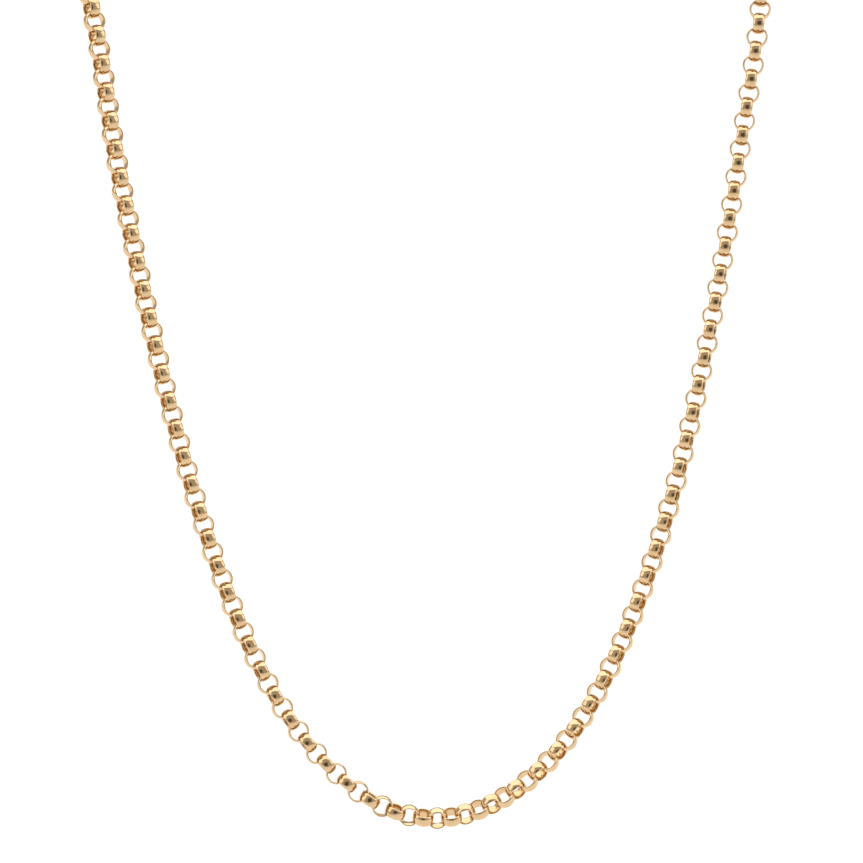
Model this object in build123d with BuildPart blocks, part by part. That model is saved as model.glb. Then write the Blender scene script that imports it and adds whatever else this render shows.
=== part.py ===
from build123d import *
import math
import os

# Gold rolo chain necklace in the form it has when worn. Millimetres, +Z up, front towards -Y.
# The origin is where the clasp rests on the nape.

# One link: a ring of half round wire, its flat side inwards
LINK_OUTER_DIA = 3.7

# Half of the wire's section, from the flat side out to the crown
# (height over the flat side, half width there)
SECTION = [
    (0, 0.48),
    (0.17, 0.8),
    (0.31, 0.56),
    (0.4, 0.2),
]

# The chain: every other link stands square to its neighbours
LINK_COUNT = 205
LINK_PITCH = 2.415
EYE_TO_END_LINK = 2.1
QUARTER_TURN = 90

# The clasp: one closed barrel with a soldered eye at each end
EYE_SPACING = 11
EYE_RADIUS = 1.5
EYE_WIRE_DIA = 0.7
BARREL_DIA = 3.8
BARREL_LENGTH = 8.6
BARREL_SHOULDER = 1.3
CLASP_CENTRE = (0, BARREL_DIA / 2, 0)

# The front stretch hangs in one plane that leans back from this lowest point, as on a chest
LOWEST_POINT = (-2.45, -96, -157.5)
FRONT_LEAN = 20

# Front stretch, from the wearer's right shoulder down to the breastbone and up to the left shoulder
# (across, up the slope)
FRONT = [
    (-54.7, 139.7),
    (-51.7, 118.0),
    (-48.2, 96.4),
    (-44.0, 74.9),
    (-38.8, 53.6),
    (-32.5, 34.3),
    (-25.2, 18.9),
    (-16.9, 8.2),
    (-7.1, 1.3),
    (2.7, -0.1),
    (12.3, 3.2),
    (21.5, 10.8),
    (29.3, 22.0),
    (36.5, 37.5),
    (43.1, 56.9),
    (48.2, 76.7),
    (52.5, 96.9),
    (56.2, 117.1),
    (59.6, 137.8),
]

# Each side of the neck, from the clasp's eye to the shoulder
# (x, y, z)
RIGHT_OF_NECK = [
    (-5.5, 1.9, 0),
    (-19, 0.7, -0.5),
    (-35.5, -6, -2),
    (-49, -18.5, -5.5),
    (-56.8, -32.4, -10.5),
    (-58.8, -41.4, -17.5),
]
LEFT_OF_NECK = [
    (5.5, 1.9, 0),
    (19, 0.2, -0.5),
    (34.5, -6.5, -2),
    (47.5, -18.5, -5.5),
    (55, -31, -10.5),
    (57.8, -40, -17.5),
]

# How far the chain has turned about its own length, counted from the link at the clasp
# (link, turn)
TURNS = [
    (0, -90),
    (36, -46),
    (56, -44),
    (70, -37),
    (83, -36),
    (91, -28),
    (95, -23.5),
    (97, -14.5),
    (101, 3.5),
    (103, 12),
    (108, 30),
    (112, 39),
    (118, 43),
    (126, 45),
    (140, 54),
    (154, 59),
    (168, 61),
    (LINK_COUNT - 1, 96),
]


def turn_of(link):
    """The turn of one link, worked out evenly between the two rows of TURNS on each side of it."""
    for (low, low_turn), (high, high_turn) in zip(TURNS, TURNS[1:]):
        if link <= high:
            return low_turn + (high_turn - low_turn) * (link - low) / (high - low)


def link_places(course):
    """The place of each link: its centre on the course, its ring's axis square to it.

    The axis is carried from link to link without spinning, then turned by the table,
    and by a quarter turn more on every other link.
    """
    places = []
    upright = Vector(0, 0, 1)
    for link in range(LINK_COUNT):
        distance = EYE_TO_END_LINK + link * LINK_PITCH
        centre = course.position_at(distance, position_mode=PositionMode.LENGTH)
        along = course.tangent_at(distance, position_mode=PositionMode.LENGTH)
        upright = (upright - along * upright.dot(along)).normalized()
        turn = turn_of(link) + QUARTER_TURN * (link % 2)
        axis = upright.rotate(Axis((0, 0, 0), along), turn)
        places.append(Plane(origin=centre, x_dir=along, z_dir=axis).location)
    return places


os.makedirs("parts", exist_ok=True)

# The course that the links' centres follow, once round the neck
lean = math.radians(FRONT_LEAN)
front_normal = (0, -math.cos(lean), math.sin(lean))
front_plane = Plane(origin=LOWEST_POINT, x_dir=(1, 0, 0), z_dir=front_normal)
front_points = [front_plane.from_local_coords(Vector(across, slope)) for across, slope in FRONT]
with BuildLine() as course:
    Spline(*RIGHT_OF_NECK, *front_points, *reversed(LEFT_OF_NECK))

# Link: the wire's section carried once round, flat side and softened edges inwards
crown_height = SECTION[-1][0]
bore_radius = LINK_OUTER_DIA / 2 - crown_height
upper_side = [(bore_radius + height, half_width) for height, half_width in SECTION]
lower_side = [(radius, -half_width) for radius, half_width in reversed(upper_side)]
with BuildPart() as link:
    with BuildSketch(Plane.XZ):
        with BuildLine():
            Polyline(*upper_side, *lower_side, close=True)
        make_face()
    revolve(axis=Axis.Z)

# Chain: the links in their places, each one passing through the next and clear of it
with BuildPart() as chain:
    with Locations(*link_places(course.edge())):
        add(link.part)
chain.part.label = "rolo_chain"
export_step(chain.part, "parts/rolo_chain.step")

# Clasp: a plain barrel with rounded shoulders, its eyes in one piece with it
with BuildPart() as clasp:
    with BuildSketch(Plane(origin=CLASP_CENTRE)) as half_barrel:
        Rectangle(BARREL_LENGTH, BARREL_DIA / 2, align=(Align.CENTER, Align.MIN))
        shoulders = half_barrel.vertices().group_by(Axis.Y)[-1]
        fillet(shoulders, radius=BARREL_SHOULDER)
    revolve(axis=Axis(CLASP_CENTRE, (1, 0, 0)))
    with Locations(Plane(origin=CLASP_CENTRE)):
        with GridLocations(EYE_SPACING, 1, 2, 1):
            Torus(EYE_RADIUS, EYE_WIRE_DIA / 2)
clasp.part.label = "clasp"
export_step(clasp.part, "parts/clasp.step")
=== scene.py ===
import math

import bpy
import numpy as np
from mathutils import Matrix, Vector


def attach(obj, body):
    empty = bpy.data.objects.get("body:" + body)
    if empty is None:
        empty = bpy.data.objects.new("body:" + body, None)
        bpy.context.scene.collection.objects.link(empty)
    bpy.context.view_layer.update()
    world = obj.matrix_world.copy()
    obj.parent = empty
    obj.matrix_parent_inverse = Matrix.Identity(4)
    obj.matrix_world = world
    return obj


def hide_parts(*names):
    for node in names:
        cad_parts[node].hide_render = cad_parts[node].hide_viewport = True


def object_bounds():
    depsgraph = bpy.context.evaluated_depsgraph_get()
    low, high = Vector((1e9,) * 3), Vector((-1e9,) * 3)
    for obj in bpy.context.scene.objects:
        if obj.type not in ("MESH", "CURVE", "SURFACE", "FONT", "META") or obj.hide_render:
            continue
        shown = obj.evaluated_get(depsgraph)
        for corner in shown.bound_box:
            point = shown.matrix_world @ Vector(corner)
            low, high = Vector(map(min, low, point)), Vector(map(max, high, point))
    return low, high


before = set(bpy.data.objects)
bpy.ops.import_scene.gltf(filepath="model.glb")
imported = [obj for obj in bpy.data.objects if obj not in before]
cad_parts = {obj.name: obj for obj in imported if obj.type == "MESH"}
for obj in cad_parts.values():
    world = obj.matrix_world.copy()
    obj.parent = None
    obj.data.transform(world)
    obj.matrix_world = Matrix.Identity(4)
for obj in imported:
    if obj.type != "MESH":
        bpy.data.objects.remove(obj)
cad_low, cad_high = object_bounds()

# A gold rolo chain necklace in its worn loop, seen from the front and a little above.
# Everything is in metres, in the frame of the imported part: +Z up, the wearer's front towards -Y.

MM = 0.001

# One link's bore, as the part has it
LINK_BORE_RADIUS = 1.45 * MM

# Half of the wire's section, from the flat side over the rounded edge to the crown. It is fuller
# than the part's section at the edges, so where the chain bends or twists links can cross.
# (height over the flat side, half width there)
HALF_SECTION = np.array([
    (0.03, 0.68),
    (0.2, 0.82),
    (0.38, 0.42),
]) * MM

# The cage of one link, smoothed once by a subdivision
CAGE_SIDES = 12
SMOOTHING = 1

# A smooth curve's corner is this much of its own cage point, and this much of each neighbour
OWN_SHARE = 4 / 6
NEIGHBOUR_SHARE = 1 / 6

# Corners closer than this are one
WELD_GRID = 0.0001 * MM

# The gold: a slow ripple between two close tones (place in the ripple, colour), and a fine grain
# that roughens the mirror between two values and stands out by its depth
RIPPLE_SIZE = 1.2 * MM
RIPPLE_TONES = [(0.35, "#DABB90"), (0.65, "#E2C49A")]
GRAIN_SIZE = 0.15 * MM
GRAIN_ROUGHNESS = (0.05, 0.1)
GRAIN_DEPTH = 0.01 * MM
GRAIN_STRENGTH = 0.15

# The view: the photograph is square, and one of its pixels is this large where the chain hangs
PHOTO_SIDE = 863
PIXEL_SIZE = 0.17 * MM
LENS = 120.0
SENSOR = 36.0
CLIP_RATIO = 100
CAMERA_ELEVATION = math.radians(20.0)
CAMERA_YAW = math.radians(4.4)
VIEW_CENTRE = Vector((-1.38, -73.59, -95.92)) * MM

FLOOR_DROP = 0.12
FLOOR_SIDE = 8.0
PAPER_COLOUR = "#FBFBFC"

# The tent's walls, and the round opening through which the camera looks
TENT_COLOUR = "#FFF8EE"
WALL_RADIANCE = 0.5
OPENING_RADIANCE = 0.1
OPENING_RIM = math.radians(26.0)
OPENING_DARK = math.radians(18.0)

# Lamps that shine through the walls, in degrees and metres
# (name, azimuth, elevation, distance, width, height, radiance)
BOXES = [
    ("left_box", -83.5, 25, 1.0, 0.8, 0.8, 1.0),
    ("right_box", 83.5, 25, 1.0, 0.8, 0.8, 1.0),
    ("overhead_box", 180, 62, 1.8, 3.6, 3.0, 1.25),
]


def linear(hex_colour):
    """An sRGB hex colour as linear red, green, blue and alpha."""
    srgb = np.array([int(hex_colour[i:i + 2], 16) for i in (1, 3, 5)]) / 255
    rgb = np.where(srgb <= 0.04045, srgb / 12.92, ((srgb + 0.055) / 1.055) ** 2.4)
    return (*rgb.tolist(), 1.0)


# The chain's mesh

def welded(mesh):
    """A mesh's triangles as corner numbers, and its corners with those in one place made one."""
    corners = np.empty(len(mesh.vertices) * 3)
    mesh.vertices.foreach_get("co", corners)
    corners = corners.reshape(-1, 3)
    mesh.calc_loop_triangles()
    triangles = np.empty(len(mesh.loop_triangles) * 3, dtype=np.int64)
    mesh.loop_triangles.foreach_get("vertices", triangles)
    grid = np.round(corners / WELD_GRID).astype(np.int64)
    _, first, place = np.unique(grid, axis=0, return_index=True, return_inverse=True)
    return corners[first], place.ravel()[triangles].reshape(-1, 3)


def loose_solids(triangles, corner_count):
    """The number of the solid that each triangle belongs to, counted from 0.

    Every corner starts with its own label. Each pass gives all corners of a triangle its lowest
    label, until no label changes, so touching triangles end up with one.
    """
    label = np.arange(corner_count)
    while True:
        lowest = label[triangles].min(axis=1)
        spread = label.copy()
        np.minimum.at(spread, triangles.ravel(), np.repeat(lowest, 3))
        spread = spread[spread]
        if np.array_equal(spread, label):
            break
        label = spread
    return np.unique(label[triangles[:, 0]], return_inverse=True)[1].ravel()


def ring_places(node):
    """Centre, axis and one direction across it for every loose ring in a node, as arrays of rows.

    The centre is the mean of a ring's triangles weighted by area. The axis is the direction in
    which that area spreads least, and the direction across points along the next widest spread.
    """
    corners, triangles = welded(node.data)
    solid = loose_solids(triangles, len(corners))
    a, b, c = (corners[triangles[:, i]] for i in range(3))
    area = np.linalg.norm(np.cross(b - a, c - a), axis=1) / 2
    middle = (a + b + c) / 3
    total = np.bincount(solid, area)
    weighted = [np.bincount(solid, area * middle[:, i]) for i in range(3)]
    centre = np.stack(weighted, axis=1) / total[:, None]
    offset = middle - centre[solid]
    spread = np.zeros((len(total), 3, 3))
    np.add.at(spread, solid, area[:, None, None] * offset[:, :, None] * offset[:, None, :])
    _, directions = np.linalg.eigh(spread)
    return centre, directions[:, :, 0], directions[:, :, 1]


def section_points():
    """The wire's section as (radius, distance along the axis), once round: a half and its mirror."""
    half = HALF_SECTION + (LINK_BORE_RADIUS, 0)
    return np.vstack([half, half[::-1] * (1, -1)])


def cage_of(points):
    """The closed cage whose smooth limit curve passes through the points.

    Each point is a share of its own cage point and of both neighbours, so the cage is that
    system of equations solved.
    """
    count = len(points)
    ring = np.arange(count)
    weights = np.zeros((count, count))
    weights[ring, ring] = OWN_SHARE
    weights[ring, (ring + 1) % count] = NEIGHBOUR_SHARE
    weights[ring, (ring - 1) % count] = NEIGHBOUR_SHARE
    return np.linalg.solve(weights, points)


def link_cage():
    """One link's cage about the Z axis: corners, and the quads between them.

    The section's cage is carried round the axis in equal steps. Endless smoothing pulls a circle
    of n cage points in by (4 + 2 cos(360 / n)) / 6, so the radii are made larger by as much. The
    one smoothing that is done leaves them about 1% larger than that limit.
    """
    section = cage_of(section_points())
    pull = (4 + 2 * math.cos(2 * math.pi / CAGE_SIDES)) / 6
    turn = 2 * math.pi * np.arange(CAGE_SIDES) / CAGE_SIDES
    radius = section[:, 0] / pull
    corners = np.stack([
        np.outer(np.cos(turn), radius),
        np.outer(np.sin(turn), radius),
        np.broadcast_to(section[:, 1], (CAGE_SIDES, len(section))),
    ], axis=-1).reshape(-1, 3)
    step, across = np.meshgrid(np.arange(CAGE_SIDES), np.arange(len(section)), indexing="ij")
    next_step = (step + 1) % CAGE_SIDES
    next_across = (across + 1) % len(section)
    quads = np.stack([
        step * len(section) + across,
        step * len(section) + next_across,
        next_step * len(section) + next_across,
        next_step * len(section) + across,
    ], axis=-1).reshape(-1, 4)
    return corners, quads


def chain_mesh(centre, axis, across):
    """All the links in one mesh: the cage turned to each link's axis and moved to its centre."""
    corners, quads = link_cage()
    third = np.cross(axis, across)
    turned = (
        corners[None, :, :1] * across[:, None, :]
        + corners[None, :, 1:2] * third[:, None, :]
        + corners[None, :, 2:] * axis[:, None, :]
        + centre[:, None, :]
    )
    first = np.arange(len(centre)) * len(corners)
    faces = (quads[None] + first[:, None, None]).reshape(-1, 4)
    return turned.reshape(-1, 3), faces


def mesh_piece(name, corners, faces, material):
    """A smooth shaded object at the origin from whole arrays of corners and quads."""
    mesh = bpy.data.meshes.new(name)
    mesh.from_pydata(corners, [], faces)
    mesh.polygons.foreach_set("use_smooth", np.ones(len(faces), dtype=bool))
    mesh.materials.append(material)
    mesh.update()
    piece = bpy.data.objects.new(name, mesh)
    bpy.context.scene.collection.objects.link(piece)
    return piece


# Materials

def add_node(owner, kind, settings=None, links=None):
    """A node of that kind with its settings, and links into it given as socket: output.

    The owner is the material or the world. A socket is given by its name or its number.
    """
    tree = owner.node_tree
    node = tree.nodes.new(kind)
    for name, value in (settings or {}).items():
        if isinstance(name, int) or name in node.inputs:
            node.inputs[name].default_value = value
        else:
            setattr(node, name, value)
    for name, output in (links or {}).items():
        tree.links.new(output, node.inputs[name])
    return node


def new_material(name):
    """An empty node material with its output node."""
    material = bpy.data.materials.new(name)
    material.use_nodes = True
    material.node_tree.nodes.clear()
    output = material.node_tree.nodes.new("ShaderNodeOutputMaterial")
    return material, output


def polished_gold(name):
    """Yellow gold, polished to a mirror that is a little soft and finely grained.

    Its tone wanders slowly between two that are close.
    """
    material, output = new_material(name)
    place = add_node(material, "ShaderNodeTexCoord")
    ripple = add_node(
        material, "ShaderNodeTexNoise",
        {"Scale": 1 / RIPPLE_SIZE, "Detail": 2.0, "Roughness": 0.5},
        {"Vector": place.outputs["Object"]},
    )
    grain = add_node(
        material, "ShaderNodeTexNoise",
        {"Scale": 1 / GRAIN_SIZE, "Detail": 3.0, "Roughness": 0.6},
        {"Vector": place.outputs["Object"]},
    )
    tone = add_node(material, "ShaderNodeValToRGB", links={"Fac": ripple.outputs["Fac"]})
    for element, (position, colour) in zip(tone.color_ramp.elements, RIPPLE_TONES):
        element.position = position
        element.color = linear(colour)
    least, most = GRAIN_ROUGHNESS
    softness = add_node(
        material, "ShaderNodeMapRange",
        {"To Min": least, "To Max": most},
        {"Value": grain.outputs["Fac"]},
    )
    bump = add_node(
        material, "ShaderNodeBump",
        {"Strength": GRAIN_STRENGTH, "Distance": GRAIN_DEPTH},
        {"Height": grain.outputs["Fac"]},
    )
    gold = add_node(
        material, "ShaderNodeBsdfPrincipled",
        {"Metallic": 1.0},
        {
            "Base Color": tone.outputs["Color"],
            "Roughness": softness.outputs["Result"],
            "Normal": bump.outputs["Normal"],
        },
    )
    material.node_tree.links.new(gold.outputs["BSDF"], output.inputs["Surface"])
    return material


def white_card(name):
    """Matt white paper, as goods are photographed on: plain, with next to no gloss."""
    material, output = new_material(name)
    paper = add_node(
        material, "ShaderNodeBsdfPrincipled",
        {"Base Color": linear(PAPER_COLOUR), "Roughness": 0.9, "Specular IOR Level": 0.1},
    )
    material.node_tree.links.new(paper.outputs["BSDF"], output.inputs["Surface"])
    return material


# The stage, the light and the camera

def floor(material):
    """A plain square floor well below the chain's lowest link."""
    height = cad_low.z - FLOOR_DROP
    half = FLOOR_SIDE / 2
    corners = np.array([(-half, -half), (half, -half), (half, half), (-half, half)])
    corners = np.column_stack([corners, np.full(4, height)])
    piece = mesh_piece("floor", corners, np.array([(0, 1, 2, 3)]), material)


def softbox(name, azimuth, elevation, distance, width, height, radiance):
    """A rectangular area light that faces the middle of the front stretch.

    The azimuth is counted from straight in front towards the wearer's left. A lamp of that
    radiance needs pi times its area in watts.
    """
    turn = math.radians(azimuth)
    rise = math.radians(elevation)
    toward_lamp = Vector((
        math.sin(turn) * math.cos(rise),
        -math.cos(turn) * math.cos(rise),
        math.sin(rise),
    ))
    lamp = bpy.data.lights.new(name, "AREA")
    lamp.shape = "RECTANGLE"
    lamp.size = width
    lamp.size_y = height
    lamp.energy = radiance * math.pi * width * height
    holder = bpy.data.objects.new(name, lamp)
    holder.location = VIEW_CENTRE + toward_lamp * distance
    holder.rotation_mode = "QUATERNION"
    holder.rotation_quaternion = (-toward_lamp).to_track_quat("-Z", "Y")
    bpy.context.scene.collection.objects.link(holder)


def toward_camera():
    """The direction from the chain to the camera, nearly square to the plane its front hangs in."""
    return Vector((
        -math.sin(CAMERA_YAW) * math.cos(CAMERA_ELEVATION),
        -math.cos(CAMERA_YAW) * math.cos(CAMERA_ELEVATION),
        math.sin(CAMERA_ELEVATION),
    ))


def studio():
    """A light tent with a round opening in front, where it is dark.

    Polished metal shows the walls as pale fields and the opening as a dark spot. A direction's
    cosine with the opening's middle says which of the two it meets. The opening stays in front,
    whichever way the camera looks.
    """
    world = bpy.data.worlds.new("light_tent")
    world.use_nodes = True
    direction = add_node(world, "ShaderNodeTexCoord")
    cosine = add_node(
        world, "ShaderNodeVectorMath",
        {"operation": "DOT_PRODUCT", 1: toward_camera()},
        {0: direction.outputs["Generated"]},
    )
    radiance = add_node(
        world, "ShaderNodeMapRange",
        {
            "From Min": math.cos(OPENING_RIM),
            "From Max": math.cos(OPENING_DARK),
            "To Min": WALL_RADIANCE,
            "To Max": OPENING_RADIANCE,
        },
        {"Value": cosine.outputs["Value"]},
    )
    background = world.node_tree.nodes["Background"]
    background.inputs["Color"].default_value = linear(TENT_COLOUR)
    world.node_tree.links.new(radiance.outputs["Result"], background.inputs["Strength"])
    bpy.context.scene.world = world
    for box in BOXES:
        softbox(*box)


def camera():
    """A long lens in front of the chain, far enough that the photograph's frame fits it."""
    distance = PIXEL_SIZE * PHOTO_SIDE * LENS / SENSOR
    lens = bpy.data.cameras.new("camera")
    lens.lens = LENS
    lens.sensor_width = SENSOR
    lens.clip_start = distance / CLIP_RATIO
    lens.clip_end = distance * CLIP_RATIO
    holder = bpy.data.objects.new("camera", lens)
    holder.location = VIEW_CENTRE + toward_camera() * distance
    holder.rotation_mode = "QUATERNION"
    holder.rotation_quaternion = (-toward_camera()).to_track_quat("-Z", "Y")
    bpy.context.scene.collection.objects.link(holder)
    bpy.context.scene.camera = holder


camera()
studio()
floor(white_card("white_paper_sweep"))

gold = polished_gold("gold_14_karat_tumble_polished")
centre, axis, across = ring_places(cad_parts["rolo_chain"])
corners, faces = chain_mesh(centre, axis, across)
links = mesh_piece("chain_links", corners, faces, gold)
smooth = links.modifiers.new("smooth", "SUBSURF")
smooth.levels = smooth.render_levels = SMOOTHING
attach(links, "root")
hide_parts("rolo_chain")

clasp_gold = polished_gold("gold_14_karat_turned_and_buffed")
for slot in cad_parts["clasp"].material_slots:
    slot.material = clasp_gold

view = bpy.context.scene.view_settings
view.view_transform = "Standard"
